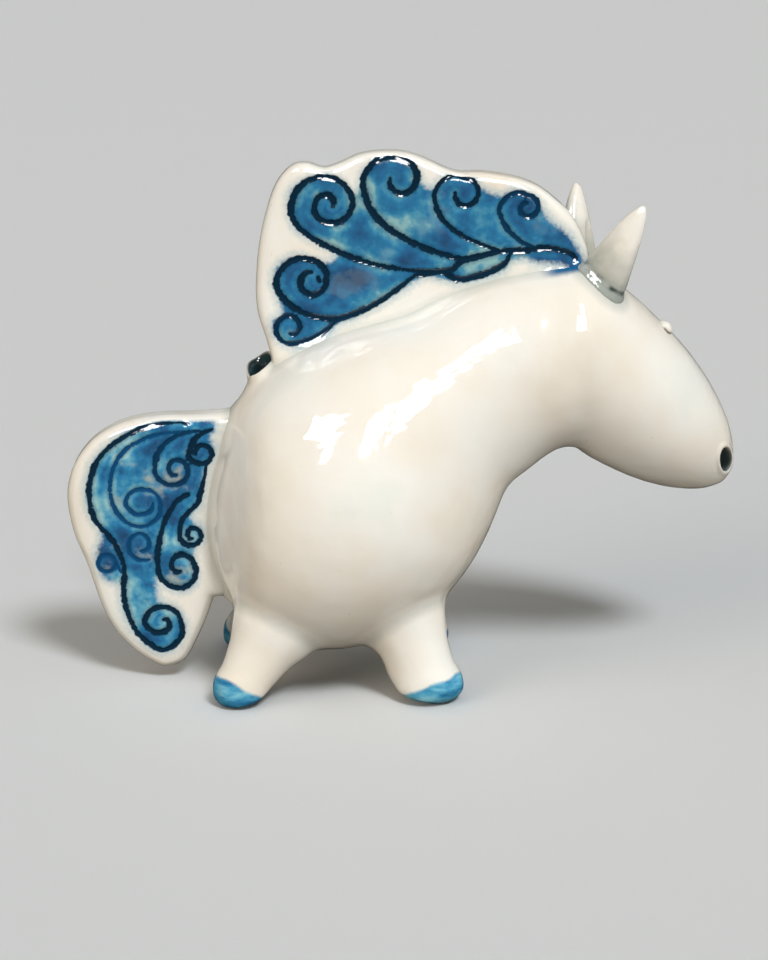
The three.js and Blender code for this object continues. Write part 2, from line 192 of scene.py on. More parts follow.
skinLook = {
    "pots": ["belly_bowl", "shoulder_and_neck", "head"],
    "legs": ["rear_leg_right", "rear_leg_left", "front_leg_right", "front_leg_left"],
    "hooves": ["rear_hoof_right", "rear_hoof_left", "front_hoof_right", "front_hoof_left"],
    "spine": [  # mm, from the middle of the belly to the muzzle
        (-13.3, 0, 46.6), (-2.3, 0, 60.7), (10.2, 0, 71), (24, 0, 77.6), (39.3, 0, 80.5), (70, 9.4, 54.8),
    ],
    "lean": 0.2,  # a wall that leans away from the spine by this much is an outer wall
    "slip": 0.2,  # mm, thickness of the slip that closes the joints
    "voxel": 1.6,  # mm
    "relax": 7,
    "jointReach": 3.5,  # mm, how far a joint between two lumps of clay is smoothed
    "jointCore": 0.3,  # share of that reach which is smoothed in full
    "jointPasses": 3,
    "legCreaseShade": 0.75,  # how strong the painted shade is in the creases round the tops of the legs
    "creaseShadeFrom": 0.3,  # mm, from where that painted shade fades out
    "lumps": [(31, 0.34), (13, 0.12)],  # mm: size and height
    "sole": 0.15,  # mm, the coat of glaze under the foot
    "soleRound": 12,  # mm, radius of the rounded sole
    "soleShift": 1.2,  # mm, it stands on its outer half
    "soleReach": 10,  # mm round the middle of the foot
    "broadFoot": "front_hoof_right",
    "footSpread": 0.17,  # it broadens by this share where it stands
    "footHeight": (2, 12),  # mm, between which that fades out
    "footReach": 13,  # mm round the middle of the foot
    "hips": {"rear": (-26.6, 13, 23.6), "front": (-2.1, 12, 23.6)},  # mm, where the right legs point to
}


def nearestOnSpine(place, spine):
    best = None
    for start, end in zip(spine, spine[1:]):
        run = end - start
        share = min(1, max(0, (place - start).dot(run) / run.length_squared))
        spot = start + run * share
        if best is None or (place - spot).length < (place - best).length:
            best = spot
    return best


def softenJoints(piece):  # where two lumps of clay meet, the slip is smoothed into a fillet, and the creases round the tops of the legs get painted shade
    look = skinLook
    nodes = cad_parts
    trees = [surfaceTree(nodes[pot]) for pot in look["pots"]]
    for leg, hoof in zip(look["legs"], look["hooves"]):
        trees.append(surfaceTree(nodes[leg], nodes[hoof]))
    places, _ = readMesh(piece)
    gaps = np.array([gapTo(tree, places, look["jointReach"]) for tree in trees])
    pots = len(look["pots"])
    # painted shade in the creases where a leg meets a pot, kept in the same attribute as the glaze pooled
    # at the other joints
    crease = np.maximum(gaps[:pots].min(axis=0), gaps[pots:].min(axis=0))
    pool_and_shade = 1 - smoothStep(look["creaseShadeFrom"], look["jointReach"], crease)
    keepValues(piece, "pool_and_shade", look["legCreaseShade"] * pool_and_shade)
    core = look["jointCore"] * look["jointReach"]
    share = 1 - smoothStep(core, look["jointReach"], np.sort(gaps, axis=0)[1])
    group = piece.vertex_groups.new(name="joints")
    for index in np.nonzero(share)[0]:
        group.add([int(index)], float(share[index]), "REPLACE")
    useModifier(piece, "SMOOTH", factor=1.0, iterations=look["jointPasses"], vertex_group="joints")
    piece.vertex_groups.clear()


def findLeg(node):  # middle of the foot, and the way up the leg
    low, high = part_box(node)
    foot = Vector(((low.x + high.x) / 2, (low.y + high.y) / 2, 0))
    hip = Vector(skinLook["hips"][node.split("_")[0]]) * mm
    hip.y = math.copysign(hip.y, foot.y)
    return foot, (hip - foot).normalized()


def roundSoles(piece):  # the ends of the legs are domed by hand
    look = skinLook
    places, _ = readMesh(piece)
    for node in look["hooves"]:
        foot, upLeg = findLeg(node)
        lean = Vector((upLeg.x, upLeg.y, 0)).normalized()
        stand = np.array(foot - lean * look["soleShift"] * mm)
        away = np.hypot(*(places - stand)[:, :2].T)
        dome = np.where(away < look["soleReach"] * mm, away**2 / (2 * look["soleRound"] * mm), 0)
        places[:, 2] = np.maximum(places[:, 2], dome)
        if node == look["broadFoot"]:
            fade = 1 - smoothStep(*look["footHeight"], places[:, 2] / mm)
            fade *= away < look["footReach"] * mm
            places[:, 0] += (places[:, 0] - foot.x) * look["footSpread"] * fade
    movePoints(piece, places)


def makeSkin():
    look = skinLook
    pots = copyNodes("glazed_skin", look["pots"])
    spine = [Vector(point) * mm for point in look["spine"]]

    def isInner(face):
        outwards = face.center - nearestOnSpine(face.center, spine)
        return face.normal.dot(outwards.normalized()) < look["lean"]

    pickFaces(pots, isInner)
    bpy.ops.mesh.delete(type="FACE")
    bpy.ops.mesh.select_all(action="SELECT")
    bpy.ops.mesh.fill_holes(sides=0)
    bpy.ops.mesh.normals_make_consistent(inside=False)
    bpy.ops.object.mode_set(mode="OBJECT")
    limbs = copyNodes("limbs", look["legs"] + look["hooves"])
    pickOnly(pots)
    limbs.select_set(True)
    bpy.ops.object.join()
    useModifier(pots, "DISPLACE", strength=look["slip"] * mm, mid_level=0)
    useModifier(pots, "REMESH", mode="VOXEL", voxel_size=look["voxel"] * mm)
    roundSoles(pots)
    relax(pots, look["relax"])
    softenJoints(pots)
    useModifier(pots, "SUBSURF", levels=1, render_levels=1)
    for size, height in look["lumps"]:
        handLumps(pots, size, height)
    places, _ = readMesh(pots)
    places[:, 2] = np.maximum(places[:, 2], look["sole"] * mm)
    movePoints(pots, places)
    bpy.ops.object.shade_smooth()
    return pots


skin = makeSkin()
print("skin made,", len(skin.data.polygons), "faces")


# Rump: thumbs pressed it in on both sides when the tail was put on

rumpLook = {
    "press": 1.5,  # mm deep
    "reach": 9,  # mm from the tail
    "beside": (3, 6),  # mm from the middle of the figure
    "top": (56, 66),  # mm above the table, where it ends
}


def pressRump(piece):
    look = rumpLook
    places, normals = readMesh(piece)
    gaps = gapTo(surfaceTree(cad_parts["tail"]), places, look["reach"])
    share = 1 - smoothStep(0, look["reach"], gaps)
    share *= smoothStep(*look["beside"], np.abs(places[:, 1]) / mm)
    share *= 1 - smoothStep(*look["top"], places[:, 2] / mm)
    movePoints(piece, places - normals * (share * look["press"] * mm)[:, None])


pressRump(skin)
skinTree = surfaceTree(skin)  # what is luted on follows the skin as it is before the holes
print("rump pressed")


# Holes poked through the soft clay: two nostrils and the vent behind the mane

headLook = {
    "poll": (37.3, 0.0, 84.1),  # mm, where the head's axis begins
    "droop": 40.7,  # degrees below level
    "turn": 16,  # degrees to the figure's left
}
holeLook = {
    "edge": (0.72, 1.06),  # shares of the size between which the wall goes down
    "reach": 2.1,  # sizes round a hole within which the faces are made finer
    "cuts": 3,
    "bulge": 0.6,  # how far the finer faces round out
    "through": 1.5,  # sizes, no wall farther back than this is moved
    "lip": (1.22, 0.24),  # sizes, middle and width of the raised lip
    "farSide": (-0.6, 0.9),  # sizes between which the far lip rises
}
nostrilLook = {
    "along": 50.1,  # mm from the poll
    "round": 70,  # degrees from the crown
    "size": (3.5, 2.3),  # mm, half along the head and half round it
    "depth": 7,
    "dark": (0.96, 1.1),  # shares of the size between which the painted shade inside the hole sets in
    "level": 0.92,  # how dark that painted shade is
    "lip": 0.4,  # mm, clay that the stick pushed up round the hole
    "farLip": 0,  # mm, more of it on the far side
}
ventLook = {
    "from": (-13.3, 1.5, 46.6),  # mm, in the middle of the belly
    "angle": 124,  # degrees round the belly from straight ahead
    "size": (3.0, 4.75),  # mm, half along the back and half across it
    "depth": 9,
    "dark": (1.08, 1.24),
    "level": 1,
    "lip": 0.9,
    "farLip": 1.7,
}


def headAxes():
    droop = math.radians(headLook["droop"])
    turn = math.radians(headLook["turn"])
    left = Vector((-math.sin(turn), math.cos(turn), 0))
    ahead = Vector((math.cos(droop) * math.cos(turn), math.cos(droop) * math.sin(turn), -math.sin(droop)))
    return ahead, left, ahead.cross(left)


mouths = []  # place of every hole, and its two directions over its half sizes


def pokeHole(piece, inside, axis, along, hole):
    size = hole["size"]
    place = surfaceTree(piece).ray_cast(inside, axis)[0]
    across = axis.cross(along).normalized()
    mouths.append((np.array(place), np.array(along) / size[0], np.array(across) / size[1]))
    reach = holeLook["reach"] * max(size) * mm

    def isNear(face):
        return (face.center - place).length < reach

    pickFaces(piece, isNear)
    bpy.ops.mesh.subdivide(number_cuts=holeLook["cuts"], smoothness=holeLook["bulge"])
    bpy.ops.object.mode_set(mode="OBJECT")
    places, _ = readMesh(piece)
    offset = (places - np.array(place)) / mm
    sideways = offset @ np.array(across) / size[1]
    share = np.hypot(offset @ np.array(along) / size[0], sideways)
    nearSide = offset @ np.array(axis) > -holeLook["through"] * max(size)
    down = (1 - smoothStep(*holeLook["edge"], share)) * nearSide
    height = hole["lip"] + hole["farLip"] * smoothStep(*holeLook["farSide"], sideways)
    middle, width = holeLook["lip"]
    lip = np.exp(-(((share - middle) / width) ** 2)) * height * nearSide
    movePoints(piece, places + np.outer((lip - down * hole["depth"]) * mm, np.array(axis)))
    # painted shade over the inside of the hole
    dark = (1 - smoothStep(*hole["dark"], share)) * nearSide * hole["level"]
    keepValues(piece, "hollow", np.maximum(dark, readValues(piece, "hollow")))


def pokeHoles(piece):
    ahead, left, crown = headAxes()
    poll = Vector(headLook["poll"]) * mm
    turn = math.radians(nostrilLook["round"])
    inside = poll + ahead * nostrilLook["along"] * mm
    for side in (-1, 1):
        axis = (crown * math.cos(turn) + left * side * math.sin(turn)).normalized()
        pokeHole(piece, inside, axis, ahead, nostrilLook)
    angle = math.radians(ventLook["angle"])
    axis = Vector((math.cos(angle), 0, math.sin(angle)))
    along = Vector((math.sin(angle), 0, -math.cos(angle)))
    pokeHole(piece, Vector(ventLook["from"]) * mm, axis, along, ventLook)


pokeHoles(skin)
print("holes poked,", len(skin.data.polygons), "faces")


# Slabs and small pieces are luted on: their foot spreads into a small fillet of slip

luteLook = {
    "root": 2.2,  # mm, what lies closer to the skin is root
    "rim": (1.3, 1.7),  # half sizes of a hole between which a root takes hold
    "clear": 1.2,  # mm, how far over a hole a root ends
}


def rollHeight(climb, collar):  # mm, a roll of slip with a crease above it
    roll = math.exp(-(((climb - collar["middle"]) / collar["width"]) ** 2))
    crease = math.exp(-(((climb - collar["crease"]) / collar["width"]) ** 2))
    return roll * collar["height"] - crease * collar["depth"]


def holdShare(places):  # one where the skin is whole, none over a hole
    hold = np.ones(len(places))
    for place, along, across in mouths:
        offset = (places - place) / mm
        share = np.hypot(offset @ along, offset @ across)
        hold = np.minimum(hold, smoothStep(*luteLook["rim"], share))
    return hold


def sinkRoot(piece, way):  # mm, the face that is pressed on goes into the soft body
    places, _ = readMesh(piece)
    root = gapTo(skinTree, places, luteLook["root"]) < luteLook["root"]
    movePoints(piece, places + np.outer(root * holdShare(places), way) * mm)


def luteOn(piece, rise, spread, sink, collar=None):  # mm
    places, normals = readMesh(piece)
    near = np.zeros(len(places))
    climb = np.zeros(len(places))
    hold = holdShare(places)
    moved = places.copy()
    for index, place in enumerate(places):
        spot, facing, _, _ = skinTree.find_nearest(Vector(place))
        climb[index] = (Vector(place) - spot).dot(facing) / mm
        near[index] = (1 - min(1, max(0, climb[index]) / rise)) * hold[index]
        up = np.array(facing)
        side = normals[index] - normals[index].dot(up) * up
        moved[index] += (side * spread - up * sink) * near[index] ** 2 * mm
        moved[index] += up * (1 - hold[index]) * max(0, luteLook["clear"] - climb[index]) * mm
        if collar:
            moved[index] += side * rollHeight(climb[index], collar) * mm
    movePoints(piece, moved)
    keepValues(piece, "pool_and_shade", near)
    keepValues(piece, "climb", climb)


# Scroll carving: a smooth line through listed points, ending in a volute

slabLook = {  # the mane and the tail are cut from one slab
    "voxel": 0.42,  # mm
    "relax": 3,
    "lumpSize": 11,  # mm
    "lumpHeight": 0.22,  # mm
    "burr": 0.04,  # mm, clay pushed up beside a line
    "burrPlace": (1.5, 0.4),  # half widths of the line, middle and width
    "cushion": 0.22,  # mm, the clay swells a little between the lines
    "cushionFrom": (0.8, 4),  # half widths from the line
    "cushionIn": (-0.5, 2.5),  # mm inside the wash
    "groove": (0.1, 1.15),  # half widths between which the groove rises
    "swell": 0.3,  # the line swells and thins, in shares of its width
    "swellSize": 4.5,  # mm
    "ragged": 0.42,  # the tool's crumbs leave a ragged edge, in the same shares
    "raggedSize": 0.75,  # mm
    "thinEnd": 0.62,  # share of its width that a line has at its ends
    "thinSteps": 14,  # points over which it fills out
    "face": (0.45, 0.8),  # how squarely a wall looks aside to be carved
    "far": 6,  # mm or half widths, distances are kept up to this
}


def smoothLine(points, closed=False, steps=10):
    knots = np.array(points, float)
    if closed:
        knots = np.vstack([knots[-1:], knots, knots[:2]])
    else:
        knots = np.vstack([2 * knots[0] - knots[1], knots, 2 * knots[-1] - knots[-2]])
    share = np.linspace(0, 1, steps, endpoint=False)[:, None]
    runs = []
    for before, start, end, after in zip(knots, knots[1:], knots[2:], knots[3:]):
        pull = (end - before) * share
        bend = (2 * before - 5 * start + 4 * end - after) * share**2
        ease = (3 * start - before - 3 * end + after) * share**3
        runs.append(start + 0.5 * (pull + bend + ease))
    if not closed:
        runs.append(knots[-2:-1])
    return np.vstack(runs)


def volute(centre, start, turn, radii):  # radii at every quarter turn, in mm
    points = []
    for step in range(3 * (len(radii) - 1) + 1):
        angle = math.radians(start + turn * 30 * step)
        radius = np.interp(step / 3, range(len(radii)), radii)
        points.append((centre[0] + radius * math.cos(angle), centre[1] + radius * math.sin(angle)))
    return points


def scrollLine(lock):
    points = list(lock["stem"])
    if "radii" in lock:
        points += volute(lock["centre"], lock["start"], lock["turn"], lock["radii"])
    return smoothLine(points)


def signedDistance(spots, outline):  # mm, positive inside the outline
    nearest = np.full(len(spots), 1e9)
    inside = np.zeros(len(spots), bool)
    for start, end in zip(outline, np.roll(outline, -1, axis=0)):
        run = end - start
        share = np.clip((spots - start) @ run / (run @ run + 1e-12), 0, 1)
        gap = spots - start - share[:, None] * run
        nearest = np.minimum(nearest, np.hypot(gap[:, 0], gap[:, 1]))
        crosses = (start[1] > spots[:, 1]) != (end[1] > spots[:, 1])
        height = end[1] - start[1]
        level = start[0] + (spots[:, 1] - start[1]) * run[0] / (height if abs(height) > 1e-9 else 1e-9)
        inside ^= crosses & (spots[:, 0] < level)
    return np.where(inside, nearest, -nearest)


def carveScrolls(piece, look):
    slab = slabLook
    places, normals = readMesh(piece)
    spots = places[:, [0, 2]] / mm - np.array(look["shift"])
    cuts = []
    for lock in look["locks"]:
        line = scrollLine(lock)
        steps = np.arange(len(line))
        filled = np.clip(np.minimum(steps, steps[::-1]) / slab["thinSteps"], 0, 1)
        width = look["lineWidth"] / 2 * (slab["thinEnd"] + (1 - slab["thinEnd"]) * filled)
        width *= lock.get("width", 1)
        cuts.append(np.column_stack([line, width, np.full(len(line), lock.get("ink", 1))]))
    cuts = np.vstack(cuts)
    tree = kdtree.KDTree(len(cuts))
    for index, cut in enumerate(cuts):
        tree.insert((cut[0], cut[1], 0), index)
    tree.balance()
    found = [tree.find((spot[0], spot[1], 0)) for spot in spots]
    line = np.array([gap / cuts[index][2] for _, index, gap in found])
    line *= 1 + slab["swell"] * patches(places, slab["swellSize"])
    face = smoothStep(*slab["face"], np.abs(normals[:, 1]))
    wash = signedDistance(spots, smoothLine(look["wash"], closed=True, steps=4))
    groove = 1 - smoothStep(*slab["groove"], line)
    middle, width = slab["burrPlace"]
    burr = np.exp(-(((line - middle) / width) ** 2))
    cushion = smoothStep(*slab["cushionFrom"], line) * smoothStep(*slab["cushionIn"], wash)
    cut = (burr * slab["burr"] + cushion * slab["cushion"] - groove * look["depth"]) * face
    places[:, 1] += np.sign(normals[:, 1]) * cut * mm
    movePoints(piece, places)
    line += slab["ragged"] * patches(places, slab["raggedSize"])
    far = slab["far"]
    keepValues(piece, "line", np.minimum(line, far) + far * (1 - face))
    keepValues(piece, "ink", [cuts[index][3] for _, index, _ in found])
    keepValues(piece, "wash", np.clip(wash, -far, far) - far * (1 - face))


def makeSlab(label, node, look):
    piece = copyNodes(label, [node])
    sinkRoot(piece, look["root"])
    useModifier(piece, "REMESH", mode="VOXEL", voxel_size=slabLook["voxel"] * mm)
    relax(piece, slabLook["relax"])
    handLumps(piece, slabLook["lumpSize"], slabLook["lumpHeight"])
    luteOn(piece, *look["fillet"])
    carveScrolls(piece, look)
    bpy.ops.object.shade_smooth()
    return piece


# Mane: a slab on the crest, carved with five locks that leave one stem, and a small curl below them

fromLeft, fromRight, fromBelow = 180, 0, 270  # where a volute begins, degrees
clockwise, widdershins = -1, 1
maneLook = {
    "shift": (0.55, -0.3),  # mm, of the whole drawing
    "root": (0, 0, -1.6),  # mm, how deep it sits in the body
    "fillet": (2.4, 1.5, 1.2),  # mm: rise, spread, sink
    "lineWidth": 1.65,  # mm
    "depth": 0.32,  # mm
    "locks": [
        {
            "stem": [(-0.7, 101.7), (-9.4, 103.5), (-17.5, 106.7), (-24.1, 110.8), (-26.4, 114)],
            "centre": (-18.3, 116.7), "start": fromLeft, "turn": clockwise,
            "radii": [8.4, 6.6, 5.8, 3.9, 2.9, 2.5, 1.3],
        },
        {
            "stem": [(14.9, 104.4), (11.7, 104.5), (3.9, 107), (-3.6, 111), (-7.6, 114.8), (-9.4, 118.5)],
            "centre": (-1.3, 123), "start": fromLeft, "turn": clockwise,
            "radii": [8.7, 4.4, 3.7, 3.5, 2.5],
        },
        {
            "stem": [
                (22.1, 106.1), (17.8, 107.5), (13.7, 109.3), (10.5, 111.4), (8.2, 113.7), (6.9, 116.5),
            ],
            "centre": (13.4, 119.8), "start": fromLeft, "turn": clockwise,
            "radii": [6.9, 3.3, 3.2, 3.1, 2.2], "width": 0.76,
        },
        {
            "stem": [(29.6, 107), (27, 108.1), (24.7, 109.9), (23, 111.9), (21.8, 114.2)],
            "centre": (27.9, 116.3), "start": fromLeft, "turn": clockwise,
            "radii": [6.4, 2.8, 2.6, 2.1, 1.6, 1.1], "width": 0.78, "ink": 0.75,
        },
        {
            "stem": [(1.9, 100.3), (-3.6, 96), (-10.5, 91.9), (-17.5, 90.1), (-24.4, 91.6), (-29.2, 95.6)],
            "centre": (-22.1, 99.1), "start": fromLeft, "turn": clockwise,
            "radii": [8.2, 4.9, 3.5, 3.4, 2.5, 2.0],
        },
        {"stem": [(-20.6, 99.8), (-20.2, 98.8)]},
        {
            "stem": [(-13.4, 90.4), (-16.5, 89.4), (-18.3, 87.8), (-20.6, 86), (-23.2, 84.8)],
            "centre": (-27.2, 87.5), "start": fromBelow, "turn": clockwise,
            "radii": [3.4, 3.3, 3.3, 2.2, 1.0], "width": 0.85, "ink": 0.9,
        },
        {
            "stem": [
                (39.4, 104.4), (37.9, 105.6), (34.5, 106.6), (30.5, 106.8), (27, 106.2), (22.4, 106.1),
                (18.3, 105.2), (14.9, 104.4), (12.3, 103.2), (10.2, 101.5), (5.6, 101.2), (-0.7, 101.7),
            ],
        },
        {
            "stem": [
                (24.1, 105.4), (22.9, 103.2), (20.6, 101.7), (17.2, 100.3), (13, 99.5), (10.4, 100),
                (8.5, 101),
            ],
        },
        {"stem": [(8.5, 101), (5, 100.7), (1.9, 100.3)]},
    ],
    "wash": [
        (-27.2, 117.2), (-26.4, 120.4), (-23.2, 122.5), (-18.3, 123.8), (-15, 122), (-12.5, 119.5),
        (-11, 120.8), (-9.9, 124), (-7.6, 126.5), (-3, 127.7), (0.4, 126.5), (2.5, 124), (3.8, 121.6),
        (6.2, 120.9), (8.5, 123), (11.7, 123.6), (15, 123), (17.2, 120.9), (21.5, 119.2), (25, 120.3),
        (28.7, 119), (31, 116.6), (33.1, 113.7), (36.2, 111.3), (38.5, 109), (40.3, 106), (41.3, 103.8),
        (40.6, 101.6), (37.4, 101.4), (36.5, 102.8), (30, 103.4), (27.6, 104.2), (24.7, 103.8),
        (22.4, 101.5), (17.2, 99.6), (12.6, 98.8), (9, 99.2), (5.6, 100), (2.8, 99.4), (-4.8, 94.5),
        (-11.7, 90.5), (-15.7, 89), (-18, 86.9), (-21.5, 84.9), (-26.1, 83.4), (-29.6, 84.9), (-31.3, 87.2),
        (-31, 89.8), (-29, 91.4), (-30.4, 96.2), (-31, 99), (-30.2, 102), (-28, 104.1), (-25.2, 104.9),
        (-21.5, 103.8), (-18.6, 103.4), (-16.3, 105.2), (-21, 108.4), (-25, 110.8), (-26.7, 113.7),
    ],
}

mane = makeSlab("carved_mane", "mane", maneLook)
print("mane carved,", len(mane.data.polygons), "faces")


# Tail: a slab on the rump, carved with locks that fall from its root

tailLook = {
    "shift": (0.34, 0.0),  # mm, of the whole drawing
    "root": (3.2, 0, 0),  # mm, how deep it sits in the body
    "fillet": (2.4, 0.8, 0.2),  # mm: rise, spread, sink
    "lineWidth": 1.5,  # mm
    "depth": 0.3,  # mm
    "locks": [
        {
            "stem": [
                (-51.3, 64.5), (-54.1, 65.2), (-59.7, 64.3), (-66.5, 61.4), (-72.4, 56.4), (-75.2, 49),
                (-74.2, 41.2), (-69.7, 35.1), (-67.5, 29), (-67.7, 21), (-65.3, 13.4), (-61.5, 9.2),
            ],
            "centre": (-58.3, 14.9), "start": fromBelow, "turn": widdershins,
            "radii": [7.0, 4.2, 4.0, 4.5, 2.2, 1.4, 0.7],
        },
        {
            "stem": [
                (-50.5, 62.8), (-57.5, 62.2), (-62.9, 60.4), (-67.3, 57.2), (-70, 51.4), (-69.7, 44.7),
                (-66.5, 40.2),
            ],
            "centre": (-62.5, 45.1), "start": fromBelow, "turn": widdershins,
            "radii": [5.9, 4.1, 3.4, 4.1, 2.8, 2.4], "width": 0.74, "ink": 0.2,
        },
        {
            "stem": [(-48.5, 62.8), (-52.5, 62.4), (-56.5, 60.1), (-58.8, 57)],
            "centre": (-54.3, 53), "start": fromLeft, "turn": widdershins,
            "radii": [5.2, 3.3, 2.7, 2.7, 1.7, 1.0], "width": 0.88, "ink": 0.7,
        },
        {
            "stem": [(-45.6, 63.2), (-47.7, 62.5), (-49.8, 60.8)],
            "centre": (-48.3, 57.2), "start": fromLeft, "turn": widdershins,
            "radii": [3.0, 2.3, 2.5, 2.1, 1.4],
        },
        {
            "stem": [(-47.2, 54.4), (-47.8, 51), (-48.6, 48), (-49.4, 45), (-51.5, 42.8), (-53.3, 40.6)],
            "centre": (-50.9, 36.8), "start": fromLeft, "turn": widdershins,
            "radii": [3.0, 2.3, 2.1, 2.0, 1.0, 0.6], "width": 0.9,
        },
        {
            "stem": [(-51.7, 47.2), (-54.5, 45.4), (-57.3, 40.5), (-59.1, 34)],
            "centre": (-53.9, 28.9), "start": fromLeft, "turn": widdershins,
            "radii": [5.4, 5.2, 3.6, 3.2, 2.0, 0.9],
        },
        {
            "stem": [(-61.3, 30.8)],
            "centre": (-63.3, 34.3), "start": fromBelow, "turn": clockwise,
            "radii": [3.6, 2.8, 3.2, 2.0, 1.2], "width": 0.7, "ink": 0.25,
        },
        {
            "stem": [(-68.2, 27.6)],
            "centre": (-71.6, 29.9), "start": fromRight, "turn": clockwise,
            "radii": [2.3, 2.1, 2.1, 2.1, 2.2], "width": 0.72, "ink": 0.25,
        },
    ],
    "wash": [
        (-45.4, 65.1), (-50.9, 66), (-54.1, 66.4), (-57.3, 66), (-61.3, 64.7), (-65.3, 62.8), (-69, 60.5),
        (-72, 57.6), (-74.6, 54), (-75.8, 49), (-75.8, 44.7), (-74.6, 41), (-73, 38.5), (-72.8, 36),
        (-73.8, 33), (-74, 30), (-73.2, 27.2), (-71.2, 25.5), (-68.9, 24.7), (-68.2, 22), (-67.9, 18.5),
        (-66.1, 13.9), (-63.7, 10.5), (-60.9, 8), (-58, 7.4), (-55.3, 8.9), (-53.3, 12.6), (-53.5, 16),
        (-55.3, 18.5), (-58.1, 19.9), (-59.5, 21), (-59.7, 24.7), (-59.4, 26.6), (-58.1, 25.1),
        (-55.7, 23.5), (-52.9, 23.2), (-50.5, 25.1), (-50.1, 28), (-50.7, 31.4), (-50.1, 34.3),
        (-48.5, 36.4), (-48.7, 38.5), (-50.8, 41), (-50.7, 42.6), (-49.1, 44.7), (-48.3, 49),
        (-47.2, 54), (-45.6, 56.8), (-45.3, 59), (-46, 61.4), (-45, 63.2),
    ],
}

tail = makeSlab("carved_tail", "tail", tailLook)
print("tail carved,", len(tail.data.polygons), "faces")


# Ears and eyes

smallLook = {
    "earVoxel": 0.36,  # mm
    "earRelax": 1,
    "earSwell": 0.2,  # mm
    "farEarWidth": 1.2,  # the left ear stands broadside to the eye
    "farEarLean": 0.05,  # and leans back, mm for each mm of height
    "earFillet": (4.5, 0.9, 1.0),  # mm: rise, spread, sink
    "earCollar": {"middle": 1.0, "width": 0.55, "height": 0.42, "crease": 2.3, "depth": 0.25},  # mm
    "eyeVoxel": 0.25,
    "eyeRelax": 1,
    "eyeSwell": 0.05,
    "eyeFillet": (0.9, 0.5, 0.6),
    "eyeCollar": None,
    "shadeAhead": 0.25,  # how far the painted shade line under an eye turns to the front
    "shadeFacing": (0.55, 0.8),
    "shadeClimb": (0.35, 0.75),  # mm above the head, where that painted shade ends
}


def makeSmall(label, node, kind):
    look = smallLook
    piece = copyNodes(label, [node])
    useModifier(piece, "REMESH", mode="VOXEL", voxel_size=look[kind + "Voxel"] * mm)
    relax(piece, look[kind + "Relax"])
    useModifier(piece, "DISPLACE", strength=look[kind + "Swell"] * mm, mid_level=0)
    if node == "ear_left":
        low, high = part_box(node)
        bpy.ops.transform.resize(value=(look["farEarWidth"], 1, 1), center_override=(low + high) / 2)
        bpy.ops.object.transform_apply(location=True, rotation=False, scale=True)
        places, _ = readMesh(piece)
        places[:, 0] -= look["farEarLean"] * (places[:, 2] - low.z)
        movePoints(piece, places)
    luteOn(piece, *look[kind + "Fillet"], look[kind + "Collar"])
    bpy.ops.object.shade_smooth()
    return piece


def paintEyeShade(eye, side):  # painted shade: a dark line in the crease under the bead, on the cheek's side
    look = smallLook
    ahead, left, _ = headAxes()
    places, _ = readMesh(eye)
    out = np.array(left * (1 if side == "left" else -1) + ahead * look["shadeAhead"])
    offset = places - places.mean(axis=0)
    facing = offset @ out / np.linalg.norm(offset, axis=1)
    low = 1 - smoothStep(*look["shadeClimb"], readValues(eye, "climb"))
    keepValues(eye, "eye_crease_shade", smoothStep(*look["shadeFacing"], facing) * low)


ears = {side: makeSmall("pinched_ear_" + side, "ear_" + side, "ear") for side in ("right", "left")}
eyes = {side: makeSmall("eye_bead_" + side, "eye_" + side, "eye") for side in ("right", "left")}
for side in ("right", "left"):
    paintEyeShade(eyes[side], side)
print("ears and eyes set")


# Hooves: a coat of blue glaze brushed round each foot

hoofLook = {
    "top": 8.5,  # mm up the leg, the coat thins out to nothing here
    "full": 4.5,  # mm, full thickness below this
    "coat": 0.1,
    "under": 0.12,  # mm, its thin edge lies this far under the skin
    "thickness": 0.7,
    "reach": 13,  # mm round the middle of the foot
}


def makeHoof(node):
    look = hoofLook
    foot, upLeg = findLeg(node)
    pickOnly(skin)
    bpy.ops.object.duplicate()
    hoof = bpy.context.object
    hoof.name = "glazed_" + node

    def isOff(face):
        away = face.center - foot
        return away.dot(upLeg) > look["top"] * mm or away.length > look["reach"] * mm

    pickFaces(hoof, isOff)
    bpy.ops.mesh.delete(type="FACE")
    bpy.ops.object.mode_set(mode="OBJECT")
    places, normals = readMesh(hoof)
    climb = (places - np.array(foot)) @ np.array(upLeg) / mm
    share = 1 - smoothStep(look["full"], look["top"], climb)
    lift = share * (look["coat"] + look["under"]) - look["under"]
    places += normals * lift[:, None] * mm
    places[:, 2] = np.maximum(places[:, 2], 0)
    movePoints(hoof, places)
    keepValues(hoof, "climb", climb)
    useModifier(hoof, "SOLIDIFY", thickness=look["thickness"] * mm, offset=-1)
    return hoof


hooves = {node: makeHoof(node) for node in skinLook["hooves"]}
print("hooves coated")


# The skin swells up to the pieces that are luted on it, and glaze pools in those joints

jointLook = {
    "reach": 3.5,  # mm from the piece
    "swell": 0.35,  # mm at the piece
    "run": (0.6, 2.6),  # mm from the mane, where blue glaze ran off its front end
    "runFrom": (31, 36),  # mm ahead of the middle
}


def closeJoints(pieces):
    look = jointLook
    places, normals = readMesh(skin)
    near = np.zeros(len(places))
    for piece in pieces:
        gaps = gapTo(surfaceTree(piece), places, look["reach"])
        near = np.maximum(near, 1 - gaps / look["reach"])
    movePoints(skin, places + normals * (near**2 * look["swell"] * mm)[:, None])
    keepValues(skin, "pool_and_shade", np.maximum(near, readValues(skin, "pool_and_shade")))
    run = 1 - smoothStep(*look["run"], gapTo(surfaceTree(mane), places, look["reach"]))
    keepValues(skin, "run", run * smoothStep(*look["runFrom"], places[:, 0] / mm))


closeJoints([mane, tail, ears["right"], ears["left"]])
print("joints closed")


# Materials


def linear(colour):  # sRGB hex to a linear colour
    parts = [int(colour[place:place + 2], 16) / 255 for place in (0, 2, 4)]
    return [part / 12.92 if part <= 0.04045 else ((part + 0.055) / 1.055) ** 2.4 for part in parts] + [1]


